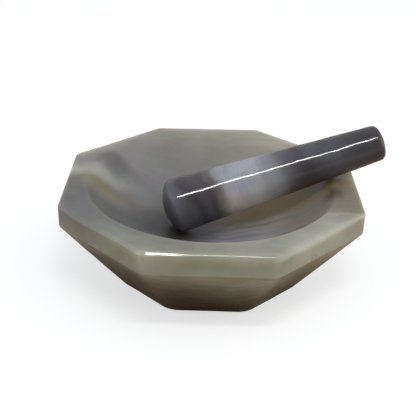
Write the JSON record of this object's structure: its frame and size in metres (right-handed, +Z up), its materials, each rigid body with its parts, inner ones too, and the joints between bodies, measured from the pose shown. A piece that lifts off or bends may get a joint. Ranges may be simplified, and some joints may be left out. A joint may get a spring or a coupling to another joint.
{
  "type": "mortar and pestle",
  "caption": "Shallow octagonal stone mortar with a round polished bowl for fine grinding, and a plain tapered pestle that lies in the bowl and leans on its rim.",
  "frame": {"origin": "centre of the mortar's flat base, on the table", "axes": "+Z up out of the bowl, +X towards the side that the pestle's handle points to, -Y towards the front of the mortar"},
  "size_m": [0.1291, 0.119, 0.0602],
  "materials": {
    "mortar_agate": "polished",
    "pestle_agate": "polished"
  },
  "bodies": {
    "mortar": {"mortar": "mortar_agate"},
    "pestle": {"pestle": "pestle_agate"}
  },
  "joints": [
    {"name": "pestle_lift", "type": "slide", "parent": "mortar", "child": "pestle", "axis": [0, 0, 1], "range_m": [0, 0.06]}
  ]
}
